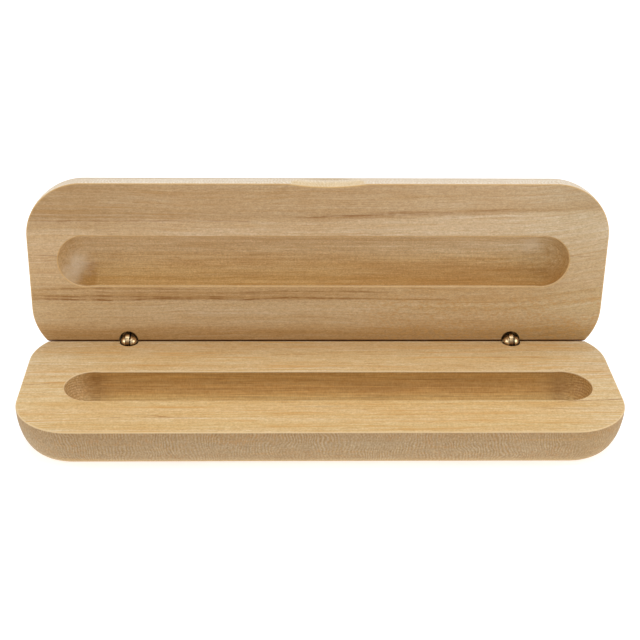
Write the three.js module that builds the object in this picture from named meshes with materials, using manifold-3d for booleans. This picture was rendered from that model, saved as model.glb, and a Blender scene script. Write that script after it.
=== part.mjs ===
// Wooden case for one fountain pen, standing open: two routed halves joined along the back by two small brass barrel hinges.
// Millimetres. +X runs along the pen, +Y points to the hinge side, +Z is up. The origin is the centre of the base's flat underside.
import * as THREE from "three";
import { mergeVertices } from "three/addons/utils/BufferGeometryUtils.js";
import Module from "manifold-3d";

const wasm = await Module();
wasm.setup();

// Driving dimensions
const LENGTH = 175; // of each half, end to end
const WIDTH = 57.5; // of each half, front to back
const HALF_T = 13.05; // thickness of each half
const CORNER_R = 17.1; // corner radius seen from above
const BASE_SIDE = { land: 0.15, inset: 5.85 }; // upright land beside the joint face, and how far the rounded side pulls in at the outer face
const LID_SIDE = { land: 1.2, inset: 5.15 };
const OPEN_ANGLE = 93.8; // lid angle when the two back chamfers meet
const CHAMFER_BACK = 6.3; // from the pivot line to the back of each half
const FACE_GAP = 0.15; // each joint face and chamfer stands this far from the pivot's planes

const TROUGH_R = 8; // round-bottomed pen trough, 16 wide
const TROUGH_HALF = 77.2; // half of its length, round ends included
const TROUGH_FROM_PIVOT = 26.4; // its centre line, from the pivot line
const TROUGH_SHIFT_BASE = 2.6; // sideways offset of the routed trough in the base
const TROUGH_SHIFT_LID = -1.2; // and in the lid

const NOTCH_X = 2.5; // thumb notch across the lid's front edge
const NOTCH_LENGTH = 23.8;
const NOTCH_DEPTH = 1; // into the front side, at the joint face

const HINGE_X = { left: -58.5, right: 60.2 };
const SLOT_SHIFT = { left: -0.2, right: 0 }; // the saw cut for the tongue, off the barrel's middle
const BARREL_R = 2.5;
const BARREL_DEPTH = 9; // from the pivot to the closed end
const DOME_HEIGHT = 1.85; // of the fork barrel's rounded end, above the pivot
const BORE_R = 2.85; // hole in the wood
const BORE_DEPTH = 9.4;
const BORE_SHIFT = -0.2; // the hole's centre, in front of the pivot line
const SLOT_W = 1.7; // fork slot
const SLOT_DEPTH = 2.75; // below the pivot
const TONGUE_W = 1.2;
const TONGUE_R = 2.3; // round end of the tongue, about the pivot
const TONGUE_HALF = 2.1; // half of its width above that
const TONGUE_TOP = 7.2; // where it ends inside the lid's barrel
const SHOULDER = 2.85; // from the pivot to the lid barrel's open end
const LEAF_SLOT_W = 1.5; // slot in the lid's barrel
const LEAF_SLOT_TOP = 7.6;
const RIVET_Z = 5.3;
const RING_DEPTH = 0.2; // glue grooves turned into the barrels
const PIN_R = 0.5;
const PIN_HOLE_R = 0.66;
const PIN_HALF = 2.2;
const LID_FLOAT = -0.15; // the lid sits this far along the pins

const PIVOT_Y = WIDTH / 2 - CHAMFER_BACK;
const PIVOT_Z = HALF_T + FACE_GAP;

// Colours
const woodBase = new THREE.MeshStandardMaterial({ color: 0xd6b07c, roughness: 0.55, metalness: 0 });
const woodLid = new THREE.MeshStandardMaterial({ color: 0xc09a66, roughness: 0.55, metalness: 0 });
const brass = new THREE.MeshStandardMaterial({ color: 0xb58a4a, roughness: 0.3, metalness: 1 });
const darkBrass = new THREE.MeshStandardMaterial({ color: 0x8f6b38, roughness: 0.4, metalness: 1 });

function solid(geometry) {
  const g = geometry.index ? geometry.toNonIndexed() : geometry.clone();
  g.deleteAttribute("normal");
  g.deleteAttribute("uv");
  const m = mergeVertices(g, 1e-4);
  return new wasm.Manifold(
    new wasm.Mesh({
      numProp: 3,
      vertProperties: new Float32Array(m.attributes.position.array),
      triVerts: new Uint32Array(m.index.array),
    }),
  );
}

function geometryOf(manifold) {
  const mesh = manifold.getMesh();
  const n = mesh.vertProperties.length / mesh.numProp;
  const p = new Float32Array(n * 3);
  for (let i = 0; i < n; i++)
    for (let k = 0; k < 3; k++) p[i * 3 + k] = mesh.vertProperties[i * mesh.numProp + k];
  const g = new THREE.BufferGeometry();
  g.setAttribute("position", new THREE.BufferAttribute(p, 3));
  g.setIndex(new THREE.BufferAttribute(new Uint32Array(mesh.triVerts), 1));
  g.computeVertexNormals();
  return g;
}

function box(x0, x1, y0, y1, z0, z1) {
  const g = new THREE.BoxGeometry(x1 - x0, y1 - y0, z1 - z0);
  g.translate((x0 + x1) / 2, (y0 + y1) / 2, (z0 + z1) / 2);
  return g;
}

// Both halves are drawn as the base lies: pivot line at y = 0, z = 0, joint face at z = -FACE_GAP, wood below it.
function outline() {
  const s = new THREE.Shape();
  const x = LENGTH / 2,
    y0 = CHAMFER_BACK - WIDTH,
    y1 = CHAMFER_BACK,
    r = CORNER_R;
  s.moveTo(-x + r, y0);
  s.lineTo(x - r, y0);
  s.absarc(x - r, y0 + r, r, -Math.PI / 2, 0, false);
  s.lineTo(x, y1 - r);
  s.absarc(x - r, y1 - r, r, 0, Math.PI / 2, false);
  s.lineTo(-x + r, y1);
  s.absarc(-x + r, y1 - r, r, Math.PI / 2, Math.PI, false);
  s.lineTo(-x, y0 + r);
  s.absarc(-x + r, y0 + r, r, Math.PI, Math.PI * 1.5, false);
  return s;
}

function half(side, troughShift) {
  const g = new THREE.ExtrudeGeometry(outline(), {
    depth: 2 * side.land,
    curveSegments: 12,
    bevelEnabled: true,
    bevelThickness: HALF_T - side.land,
    bevelSize: side.inset,
    bevelOffset: -side.inset,
    bevelSegments: 8,
  });
  g.translate(0, 0, -side.land - FACE_GAP);
  let s = solid(g).subtract(solid(box(-200, 200, -200, 200, -FACE_GAP, 60)));

  // Back chamfer, a plane at half the opening angle
  const a = THREE.MathUtils.degToRad(OPEN_ANGLE / 2);
  const wedge = box(-200, 200, -60, 60, 0, 60);
  wedge.rotateX(-a);
  wedge.translate(0, -FACE_GAP * Math.sin(a), -FACE_GAP * Math.cos(a));
  s = s.subtract(solid(wedge));

  // Pen trough with ball ends
  const trough = new THREE.CapsuleGeometry(TROUGH_R, 2 * (TROUGH_HALF - TROUGH_R), 7, 28);
  trough.rotateZ(Math.PI / 2);
  trough.translate(troughShift, -TROUGH_FROM_PIVOT, -FACE_GAP);
  s = s.subtract(solid(trough));

  // Holes for the hinge barrels
  for (const x of Object.values(HINGE_X)) {
    const bore = cylinder(BORE_R, -BORE_DEPTH, 6, 32);
    bore.translate(x, BORE_SHIFT, 0);
    s = s.subtract(solid(bore));
  }
  return s;
}

function cylinder(r, z0, z1, segments) {
  const g = new THREE.CylinderGeometry(r, r, z1 - z0, segments);
  g.rotateX(Math.PI / 2);
  g.translate(0, 0, (z0 + z1) / 2);
  return g;
}

function crossCylinder(r, halfLength, z = 0) {
  const g = new THREE.CylinderGeometry(r, r, 2 * halfLength, 16);
  g.rotateZ(Math.PI / 2);
  g.translate(0, 0, z);
  return solid(g);
}

// Glue grooves, as lathe points between two heights
function grooves(points, z0, z1, count) {
  const pitch = (z1 - z0) / count;
  for (let i = 0; i < count; i++) {
    const z = z0 + i * pitch;
    points.push(new THREE.Vector2(BARREL_R, z + pitch * 0.2));
    points.push(new THREE.Vector2(BARREL_R - RING_DEPTH, z + pitch * 0.35));
    points.push(new THREE.Vector2(BARREL_R - RING_DEPTH, z + pitch * 0.65));
    points.push(new THREE.Vector2(BARREL_R, z + pitch * 0.8));
  }
}

function lathe(points) {
  const g = new THREE.LatheGeometry(points, 26);
  g.rotateX(Math.PI / 2); // the lathe's axis onto Z
  return solid(g);
}

// The base's barrel: grooves below, rounded end above, sawn to a fork and drilled for the pin
function forkBarrel(slotShift) {
  const p = [
    new THREE.Vector2(0, -BARREL_DEPTH),
    new THREE.Vector2(BARREL_R - 0.35, -BARREL_DEPTH),
    new THREE.Vector2(BARREL_R, -BARREL_DEPTH + 0.35),
  ];
  grooves(p, -BARREL_DEPTH + 0.5, -3.8, 3);
  p.push(new THREE.Vector2(BARREL_R, -3.5));
  const steps = 7;
  for (let i = 0; i <= steps; i++) {
    const a = (i / steps) * (Math.PI / 2);
    p.push(new THREE.Vector2(i === steps ? 0 : BARREL_R * Math.cos(a), DOME_HEIGHT * Math.sin(a)));
  }
  return lathe(p)
    .subtract(solid(box(slotShift - SLOT_W / 2, slotShift + SLOT_W / 2, -5, 5, -SLOT_DEPTH, 5)))
    .subtract(crossCylinder(PIN_HOLE_R, 4));
}

// The lid's barrel, with the lid's wood above: open slotted end towards the pivot, closed end above
function slottedBarrel(slotShift) {
  const p = [
    new THREE.Vector2(0, SHOULDER),
    new THREE.Vector2(BARREL_R - 0.4, SHOULDER),
    new THREE.Vector2(BARREL_R, SHOULDER + 0.4),
  ];
  grooves(p, SHOULDER + 0.9, BARREL_DEPTH - 0.5, 3);
  p.push(new THREE.Vector2(BARREL_R, BARREL_DEPTH - 0.35));
  p.push(new THREE.Vector2(BARREL_R - 0.35, BARREL_DEPTH));
  p.push(new THREE.Vector2(0, BARREL_DEPTH));
  return lathe(p)
    .subtract(solid(box(slotShift - LEAF_SLOT_W / 2, slotShift + LEAF_SLOT_W / 2, -5, 5, 0, LEAF_SLOT_TOP)))
    .subtract(crossCylinder(PIN_HOLE_R, 4, RIVET_Z));
}

// The flat tongue: a stamped leaf, round about the pivot, riveted into the lid's barrel
function tongue(slotShift) {
  const s = new THREE.Shape();
  s.moveTo(TONGUE_HALF, TONGUE_TOP);
  s.lineTo(-TONGUE_HALF, TONGUE_TOP);
  const a = Math.acos(TONGUE_HALF / TONGUE_R);
  s.lineTo(-TONGUE_HALF, TONGUE_R * Math.sin(a));
  s.absarc(0, 0, TONGUE_R, Math.PI - a, 2 * Math.PI + a, false);
  const g = new THREE.ExtrudeGeometry(s, { depth: TONGUE_W, curveSegments: 28, bevelEnabled: false });
  g.translate(0, 0, -TONGUE_W / 2);
  // the shape's x is Y here and its y is Z
  g.applyMatrix4(new THREE.Matrix4().makeBasis(new THREE.Vector3(0, 1, 0), new THREE.Vector3(0, 0, 1), new THREE.Vector3(1, 0, 0)));
  g.translate(slotShift, 0, 0);
  return solid(g).subtract(crossCylinder(PIN_HOLE_R, 4)).subtract(crossCylinder(PIN_HOLE_R, 4, RIVET_Z));
}

function lidBody() {
  let s = half(LID_SIDE, TROUGH_SHIFT_LID);
  // Thumb notch: an arc segment swept square to the joint face, running out where the rounded side curves away
  const halfLength = NOTCH_LENGTH / 2;
  const r = (halfLength ** 2 + NOTCH_DEPTH ** 2) / (2 * NOTCH_DEPTH);
  const reach = Math.asin(halfLength / r);
  const front = CHAMFER_BACK - WIDTH;
  const arc = new THREE.Shape();
  arc.moveTo(-halfLength, front);
  arc.lineTo(-halfLength, front - 3);
  arc.lineTo(halfLength, front - 3);
  arc.lineTo(halfLength, front);
  arc.absarc(0, front + NOTCH_DEPTH - r, r, Math.PI / 2 - reach, Math.PI / 2 + reach, false);
  const g = new THREE.ExtrudeGeometry(arc, { depth: 20, curveSegments: 20, bevelEnabled: false });
  g.translate(NOTCH_X, 0, -17);
  s = s.subtract(solid(g));
  return s.mirror([0, 0, 1]);
}

const group = new THREE.Group();
const base = new THREE.Group();
base.position.set(0, PIVOT_Y, PIVOT_Z);
group.add(base);
const lid = new THREE.Group();
lid.position.set(LID_FLOAT, PIVOT_Y, PIVOT_Z);
lid.rotation.x = -THREE.MathUtils.degToRad(OPEN_ANGLE);
group.add(lid);

function put(parent, name, manifold, material, x = 0) {
  const mesh = new THREE.Mesh(geometryOf(manifold), material);
  mesh.name = name;
  mesh.position.x = x;
  parent.add(mesh);
}

put(base, "base_body", half(BASE_SIDE, TROUGH_SHIFT_BASE), woodBase);
put(lid, "lid_body", lidBody(), woodLid);
for (const [side, x] of Object.entries(HINGE_X)) {
  const shift = SLOT_SHIFT[side];
  put(base, side + "_base_barrel", forkBarrel(shift), brass, x);
  put(base, side + "_knuckle_pin", crossCylinder(PIN_R, PIN_HALF), darkBrass, x);
  put(lid, side + "_lid_barrel", slottedBarrel(shift), brass, x);
  put(lid, side + "_tongue", tongue(shift), brass, x);
  put(lid, side + "_tongue_rivet", crossCylinder(PIN_R, PIN_HALF, RIVET_Z), darkBrass, x);
}

export default group;
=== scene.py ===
# Fountain pen case: the looks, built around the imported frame. Metres, row frame: +X along the pen, +Y to the hinge side, +Z up.
import math

import bmesh
import bpy
from mathutils import Matrix, Vector


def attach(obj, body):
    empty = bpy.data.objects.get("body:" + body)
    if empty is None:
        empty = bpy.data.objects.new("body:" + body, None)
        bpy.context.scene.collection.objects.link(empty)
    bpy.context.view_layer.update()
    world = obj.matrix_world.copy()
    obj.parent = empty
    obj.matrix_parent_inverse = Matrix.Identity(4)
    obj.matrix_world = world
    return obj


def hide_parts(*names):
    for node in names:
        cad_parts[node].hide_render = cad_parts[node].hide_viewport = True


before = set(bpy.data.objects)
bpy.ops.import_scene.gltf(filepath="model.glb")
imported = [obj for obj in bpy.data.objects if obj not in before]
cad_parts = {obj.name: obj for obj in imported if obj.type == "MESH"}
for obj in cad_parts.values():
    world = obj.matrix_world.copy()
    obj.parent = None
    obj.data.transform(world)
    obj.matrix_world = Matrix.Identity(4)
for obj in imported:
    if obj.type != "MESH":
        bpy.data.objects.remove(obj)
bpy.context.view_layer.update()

MM = 0.001

# The design's dimensions, in mm, as in the CAD model
LENGTH, WIDTH, HALF_T, CORNER_R = 175.0, 57.5, 13.05, 17.1
SIDES = {"base": (0.15, 5.85), "lid": (1.2, 5.15)}  # upright land, inset of the rounded side
OPEN_ANGLE, CHAMFER_BACK, GAP = 93.8, 6.3, 0.15
TROUGH_R, TROUGH_HALF, TROUGH_FROM_PIVOT = 8.0, 77.2, 26.4
TROUGH_SHIFT = {"base": 2.6, "lid": -1.2}
TROUGH_END_R = 8.16  # the ball cutter's plunge at each end is a little deeper
NOTCH_X, NOTCH_LENGTH, NOTCH_DEPTH = 2.5, 23.8, 1.0
HINGE_X = {"left": -58.5, "right": 60.2}
SLOT_SHIFT = {"left": -0.2, "right": 0.0}
BARREL_R, BARREL_DEPTH, DOME_HEIGHT = 2.5, 9.0, 1.85
BORE_R, BORE_DEPTH, BORE_SHIFT = 2.85, 9.4, -0.2
SLOT_W, SLOT_DEPTH = 1.7, 2.75
TONGUE_W, TONGUE_R, TONGUE_HALF, TONGUE_TOP = 1.2, 2.3, 2.1, 7.2
SHOULDER, LEAF_SLOT_W, LEAF_SLOT_TOP, RIVET_Z = 2.85, 1.5, 7.6, 5.3
RING_DEPTH, PIN_R, PIN_HOLE_R, PIN_HALF = 0.2, 0.5, 0.66, 2.2
LID_FLOAT = -0.15
PIVOT = Vector((0.0, (WIDTH / 2 - CHAMFER_BACK), HALF_T + GAP))

RIM_R = 0.45  # eased edges of the wood

BASE_MATRIX = Matrix.Translation(PIVOT * MM)
LID_MATRIX = Matrix.Translation((PIVOT + Vector((LID_FLOAT, 0, 0))) * MM) @ Matrix.Rotation(
    -math.radians(OPEN_ANGLE), 4, "X"
)


# ---------------------------------------------------------------- mesh tools
def mesh_object(name, verts, faces):
    me = bpy.data.meshes.new(name)
    me.from_pydata([tuple(c * MM for c in v) for v in verts], [], faces)
    me.update()
    bm = bmesh.new()
    bm.from_mesh(me)
    bmesh.ops.remove_doubles(bm, verts=bm.verts, dist=1e-8)
    bmesh.ops.recalc_face_normals(bm, faces=bm.faces)
    bm.to_mesh(me)
    bm.free()
    ob = bpy.data.objects.new(name, me)
    bpy.context.scene.collection.objects.link(ob)
    return ob


def loft(name, rings, closed_caps=True):
    """A closed body from loops of equal length; the first and last loops are filled."""
    n = len(rings[0])
    verts = [p for ring in rings for p in ring]
    faces = []
    for k in range(len(rings) - 1):
        for i in range(n):
            j = (i + 1) % n
            faces.append((k * n + i, k * n + j, (k + 1) * n + j, (k + 1) * n + i))
    if closed_caps:
        faces.append(tuple(reversed(range(n))))
        faces.append(tuple(range((len(rings) - 1) * n, len(rings) * n)))
    return mesh_object(name, verts, faces)


def lathe(name, profile, segments=72, x=0.0, y=0.0):
    """Revolves (r, z) points about Z. Points with r = 0 become poles."""
    verts, faces, rows = [], [], []
    for r, z in profile:
        if r < 1e-9:
            rows.append([len(verts)])
            verts.append((x, y, z))
        else:
            rows.append(list(range(len(verts), len(verts) + segments)))
            for i in range(segments):
                a = 2 * math.pi * i / segments
                verts.append((x + r * math.cos(a), y + r * math.sin(a), z))
    for a, b in zip(rows, rows[1:]):
        for i in range(segments):
            j = (i + 1) % segments
            if len(a) == 1:
                faces.append((a[0], b[j], b[i]))
            elif len(b) == 1:
                faces.append((a[i], a[j], b[0]))
            else:
                faces.append((a[i], a[j], b[j], b[i]))
    return mesh_object(name, verts, faces)


def rod(name, r, half, z=0.0, x=0.0, segments=40, ease=0.0):
    """A round bar along X, with eased ends."""
    prof = [(0.0, -half)]
    if ease:
        for k in range(5):
            a = math.pi / 2 * k / 4
            prof.append((r - ease + ease * math.sin(a), -half + ease - ease * math.cos(a)))
        for k in range(5):
            a = math.pi / 2 * k / 4
            prof.append((r - ease + ease * math.cos(a), half - ease + ease * math.sin(a)))
    else:
        prof += [(r, -half), (r, half)]
    prof.append((0.0, half))
    ob = lathe(name, prof, segments)
    ob.data.transform(Matrix.Rotation(math.pi / 2, 4, "Y"))
    ob.data.transform(Matrix.Translation((x * MM, 0, z * MM)))
    return ob


def block(name, x0, x1, y0, y1, z0, z1):
    ring = lambda z: [(x0, y0, z), (x1, y0, z), (x1, y1, z), (x0, y1, z)]
    return loft(name, [ring(z0), ring(z1)])


def apply_modifiers(ob):
    bpy.context.view_layer.update()
    dg = bpy.context.evaluated_depsgraph_get()
    me = bpy.data.meshes.new_from_object(ob.evaluated_get(dg), preserve_all_data_layers=True, depsgraph=dg)
    old = ob.data
    ob.modifiers.clear()
    ob.data = me
    bpy.data.meshes.remove(old)


def cut(ob, cutters, solver="MANIFOLD"):
    for c in cutters:
        m = ob.modifiers.new("cut", "BOOLEAN")
        m.operation = "DIFFERENCE"
        m.object = c
        m.solver = solver
        apply_modifiers(ob)
    for c in cutters:
        me = c.data
        bpy.data.objects.remove(c)
        bpy.data.meshes.remove(me)


def open_edges(bm):
    return sum(1 for e in bm.edges if len(e.link_faces) != 2)


def merged(ob, dist):
    bm = bmesh.new()
    bm.from_mesh(ob.data)
    if dist:
        bmesh.ops.remove_doubles(bm, verts=bm.verts, dist=dist)
        bmesh.ops.dissolve_degenerate(bm, edges=bm.edges, dist=dist / 2)
    return bm


def tidy(ob, sharp=14.0, mirror=False):
    """Merges stray slivers, sets the hard edges and the shading."""
    for dist in (2e-6, 1e-6, 4e-7, 1e-7, 2e-8, 0.0):  # the widest merge that leaves the skin closed
        bm = merged(ob, dist)
        if not open_edges(bm) or not dist:
            break
        bm.free()
    if mirror:
        bmesh.ops.transform(bm, matrix=Matrix.Scale(-1, 4, (0, 0, 1)), verts=bm.verts)
        bmesh.ops.reverse_faces(bm, faces=bm.faces)
    loose = [v for v in bm.verts if not v.link_faces]
    bmesh.ops.delete(bm, geom=loose, context="VERTS")
    print("TIDY", ob.name, "faces", len(bm.faces), "merged at", dist, "open edges", open_edges(bm), "volume_mm3", round(bm.calc_volume(signed=True) * 1e9, 1))
    bm.to_mesh(ob.data)
    bm.free()
    ob.data.shade_smooth()
    ob.data.set_sharp_from_angle(angle=math.radians(sharp))
    m = ob.modifiers.new("weighted", "WEIGHTED_NORMAL")
    m.mode = "FACE_AREA"
    m.weight = 50
    m.keep_sharp = True
    apply_modifiers(ob)


# ---------------------------------------------------------------- the two wooden halves
# Drawn as the base lies: pivot line at y = 0, z = 0, joint face at z = -GAP, wood below.
def perimeter(corner=22, long_side=34, short_side=8):
    """Points on the plan's outline with their outward directions."""
    x, y0, y1, r = LENGTH / 2, CHAMFER_BACK - WIDTH, CHAMFER_BACK, CORNER_R
    pts = []
    corners = [
        ((x - r, y0 + r), -90, long_side),
        ((x - r, y1 - r), 0, short_side),
        ((-x + r, y1 - r), 90, long_side),
        ((-x + r, y0 + r), 180, short_side),
    ]
    for k, ((cx, cy), a0, _) in enumerate(corners):
        for i in range(corner + 1):
            a = math.radians(a0 + 90 * i / corner)
            pts.append((cx + r * math.cos(a), cy + r * math.sin(a), math.cos(a), math.sin(a)))
        nx, ny = corners[(k + 1) % 4][0]
        a1 = math.radians(a0 + 90)
        last = pts[-1]
        target = (nx + r * math.cos(a1), ny + r * math.sin(a1))
        steps = corners[(k + 1) % 4][2]
        for i in range(1, steps):
            t = i / steps
            pts.append((last[0] + (target[0] - last[0]) * t, last[1] + (target[1] - last[1]) * t, last[2], last[3]))
    return pts


def half_body(name, land, inset):
    pts = perimeter()
    ring = lambda d, z: [(p[0] - p[2] * d, p[1] - p[3] * d, z) for p in pts]
    rings = []
    steps = 20
    for k in range(steps + 1):
        t = math.pi / 2 * (1 - k / steps)
        z = -GAP - land - (HALF_T - land) * math.sin(t)
        if z > -GAP - RIM_R * 1.2:
            continue
        rings.append(ring(inset * (1 - math.cos(t)), z))
    # eased edge at the joint face: an arc from the side to the face
    z_start = -GAP - RIM_R
    u = max(0.0, (RIM_R - land) / (HALF_T - land))
    side_in = inset * (1 - math.sqrt(1 - u * u))
    for k in range(9):
        a = math.pi / 2 * k / 8
        rings.append(ring(side_in + RIM_R - RIM_R * math.cos(a), z_start + RIM_R * math.sin(a)))
    return loft(name, rings)


def chamfer_cutter(which):
    """Everything behind the back chamfer, with the crease edge rounded: crisp on the base, softer on the lid."""
    gap, r = (GAP, 0.18) if which == "base" else (GAP + 0.16, 0.28)
    a = math.radians(OPEN_ANGLE / 2)
    # the point where the joint face meets the chamfer plane, which stands gap away from the pivot line
    yc = (math.cos(a) * GAP - gap) / math.sin(a)
    t = r * math.tan(a / 2)
    cy, cz = yc - t, -GAP - r
    sect = []
    for k in range(7):
        phi = math.radians(88) + (math.pi / 2 - a - math.radians(88)) * k / 6
        sect.append((cy + r * math.cos(phi), cz + r * math.sin(phi)))
    last = sect[-1]
    sect.append((last[0] + 24 * math.cos(a), last[1] - 24 * math.sin(a)))
    sect.append((last[0] + 24 * math.cos(a), 12.0))
    sect.append((sect[0][0], 12.0))
    rings = [[(x, y, z) for y, z in sect] for x in (-100.0, 100.0)]
    return loft("cutter", rings)


def flare(r_wall, ease, top=8.0, steps=8):
    """(r, z) points that round a hole's rim over at the joint face, then go up out of the wood."""
    out = []
    for k in range(steps + 1):
        a = math.radians(84) * k / steps
        out.append((r_wall + ease - ease * math.cos(a), -GAP - ease + ease * math.sin(a)))
    out.append((out[-1][0], top))
    return out


def trough_cutters(shift):
    """The straight run, and a slightly deeper plunge at each end."""
    half = TROUGH_HALF - TROUGH_R
    prof = []
    a_rim = math.asin(RIM_R / TROUGH_R)
    # ball section from the bottom up to where the eased rim starts
    steps = 22
    for k in range(1, steps + 1):
        a = (math.pi / 2 - a_rim) * k / steps
        prof.append((TROUGH_R * math.sin(a), -GAP - TROUGH_R * math.cos(a)))
    wall = prof[-1][0]
    prof += flare(wall, RIM_R)[1:]
    ends = 40
    rings = []
    for r, z in prof:
        ring = []
        for i in range(ends + 1):
            a = -math.pi / 2 + math.pi * i / ends
            ring.append((shift + half + r * math.cos(a), -TROUGH_FROM_PIVOT + r * math.sin(a), z))
        for i in range(ends + 1):
            a = math.pi / 2 + math.pi * i / ends
            ring.append((shift - half + r * math.cos(a), -TROUGH_FROM_PIVOT + r * math.sin(a), z))
        rings.append(ring)
    # the bottom closes on a line between the two ball centres
    n = len(rings[0])
    verts = [p for ring in rings for p in ring]
    faces = []
    for k in range(len(rings) - 1):
        for i in range(n):
            j = (i + 1) % n
            faces.append((k * n + i, k * n + j, (k + 1) * n + j, (k + 1) * n + i))
    faces.append(tuple(range((len(rings) - 1) * n, len(rings) * n)))
    right, left = len(verts), len(verts) + 1
    verts += [(shift + half, -TROUGH_FROM_PIVOT, -GAP - TROUGH_R), (shift - half, -TROUGH_FROM_PIVOT, -GAP - TROUGH_R)]
    for i in range(ends):
        faces.append((i + 1, i, right))
        faces.append((ends + 1 + i + 1, ends + 1 + i, left))
    faces.append((ends + 1, ends, right, left))
    faces.append((0, 2 * ends + 1, left, right))
    run = mesh_object("cutter", verts, faces)
    out = [run]
    for s in (-1, 1):
        prof = [(0.0, -GAP - TROUGH_END_R)]
        for k in range(1, steps + 1):
            a = (math.pi / 2 - a_rim) * k / steps
            prof.append((TROUGH_END_R * math.sin(a), -GAP - TROUGH_END_R * math.cos(a)))
        prof += flare(prof[-1][0], RIM_R)[1:]
        prof.append((0.0, prof[-1][1]))
        out.append(lathe("cutter", prof, 80, x=shift + s * half, y=-TROUGH_FROM_PIVOT))
    return out


def bore_cutters():
    out = []
    for x in HINGE_X.values():
        prof = [(0.0, -BORE_DEPTH - 0.6), (BORE_R, -BORE_DEPTH)] + flare(BORE_R, 0.25)
        prof.append((0.0, prof[-1][1]))
        out.append(lathe("cutter", prof, 56, x=x, y=BORE_SHIFT))
    return out


def notch_cutter():
    """A thumb scallop across the front edge, its lower rim eased like the other edges."""
    front = CHAMFER_BACK - WIDTH
    hl = NOTCH_LENGTH / 2
    r = (hl**2 + NOTCH_DEPTH**2) / (2 * NOTCH_DEPTH)
    rings = []
    levels = [(-17.0, 0.0), (-GAP - RIM_R, 0.0)]
    for k in range(1, 8):
        a = math.radians(84) * k / 7
        levels.append((-GAP - RIM_R + RIM_R * math.sin(a), RIM_R - RIM_R * math.cos(a)))
    levels.append((4.0, levels[-1][1]))
    for z, off in levels:
        ring = [(NOTCH_X - hl - 8, front - 4, z), (NOTCH_X + hl + 8, front - 4, z)]
        for i in range(41):
            x = (hl + 6) * (1 - 2 * i / 40)
            # an arc inside the notch, running out in a straight, gently rising line beyond it
            if abs(x) < hl:
                y = front + NOTCH_DEPTH - r + math.sqrt(r * r - x * x)
            else:
                slope = hl / math.sqrt(r * r - hl * hl)
                y = front - (abs(x) - hl) * slope
            ring.append((NOTCH_X + x, y + off, z))
        rings.append(ring)
    return loft("cutter", rings)


def wooden_half(name, which):
    land, inset = SIDES[which]
    ob = half_body(name, land, inset)
    cutters = [chamfer_cutter(which)] + trough_cutters(TROUGH_SHIFT[which]) + bore_cutters()
    if which == "lid":
        cutters.append(notch_cutter())
    cut(ob, cutters)
    tidy(ob, 14.0, mirror=which == "lid")
    return ob


# ---------------------------------------------------------------- brass hinge pieces
def grooves(z0, z1, count):
    pitch = (z1 - z0) / count
    out = []
    for i in range(count):
        z = z0 + i * pitch
        for f, r in ((0.15, 0), (0.22, 0.5), (0.3, 1), (0.7, 1), (0.78, 0.5), (0.85, 0)):
            out.append((BARREL_R - RING_DEPTH * r, z + pitch * f))
    return out


def soften(ob, width=0.07, angle=32.0):
    m = ob.modifiers.new("ease", "BEVEL")
    m.width = width * MM
    m.segments = 3
    m.limit_method = "ANGLE"
    m.angle_limit = math.radians(angle)
    m.use_clamp_overlap = True
    apply_modifiers(ob)


def fork_barrel(name, x, shift):
    prof = [(0.0, -BARREL_DEPTH), (BARREL_R - 0.35, -BARREL_DEPTH), (BARREL_R, -BARREL_DEPTH + 0.35)]
    prof += grooves(-BARREL_DEPTH + 0.5, -3.8, 3)
    prof.append((BARREL_R, -3.5))
    steps = 18
    for i in range(steps + 1):
        a = math.pi / 2 * i / steps
        prof.append((0.0 if i == steps else BARREL_R * math.cos(a), DOME_HEIGHT * math.sin(a)))
    ob = lathe(name, prof, 64)
    cut(
        ob,
        [
            block("cutter", shift - SLOT_W / 2, shift + SLOT_W / 2, -5, 5, -SLOT_DEPTH, 5),
            rod("cutter", PIN_HOLE_R, 4),
        ],
    )
    soften(ob, 0.09)
    ob.data.transform(Matrix.Translation((x * MM, 0, 0)))
    tidy(ob, 24)
    return ob


def slotted_barrel(name, x, shift):
    prof = [(0.0, SHOULDER), (BARREL_R - 0.4, SHOULDER), (BARREL_R, SHOULDER + 0.4)]
    prof += grooves(SHOULDER + 0.9, BARREL_DEPTH - 0.5, 3)
    prof += [(BARREL_R, BARREL_DEPTH - 0.35), (BARREL_R - 0.35, BARREL_DEPTH), (0.0, BARREL_DEPTH)]
    ob = lathe(name, prof, 64)
    cut(
        ob,
        [
            block("cutter", shift - LEAF_SLOT_W / 2, shift + LEAF_SLOT_W / 2, -5, 5, 0, LEAF_SLOT_TOP),
            rod("cutter", PIN_HOLE_R, 4, RIVET_Z),
        ],
    )
    soften(ob, 0.08)
    ob.data.transform(Matrix.Translation((x * MM, 0, 0)))
    tidy(ob, 24)
    return ob


def tongue(name, x, shift):
    a = math.acos(TONGUE_HALF / TONGUE_R)
    prof = [(TONGUE_HALF, TONGUE_TOP), (-TONGUE_HALF, TONGUE_TOP)]
    for k in range(49):
        phi = math.pi - a + (math.pi + 2 * a) * k / 48
        prof.append((TONGUE_R * math.cos(phi), TONGUE_R * math.sin(phi)))
    rings = [[(xx, y, z) for y, z in prof] for xx in (shift - TONGUE_W / 2, shift + TONGUE_W / 2)]
    ob = loft(name, rings)
    cut(ob, [rod("cutter", PIN_HOLE_R, 4), rod("cutter", PIN_HOLE_R, 4, RIVET_Z)])
    soften(ob, 0.12)
    ob.data.transform(Matrix.Translation((x * MM, 0, 0)))
    tidy(ob, 24)
    return ob


def pin(name, x, z):
    ob = rod(name, PIN_R, PIN_HALF, z, 0.0, 40, ease=0.12)
    ob.data.transform(Matrix.Translation((x * MM, 0, 0)))
    tidy(ob, 30)
    return ob


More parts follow.
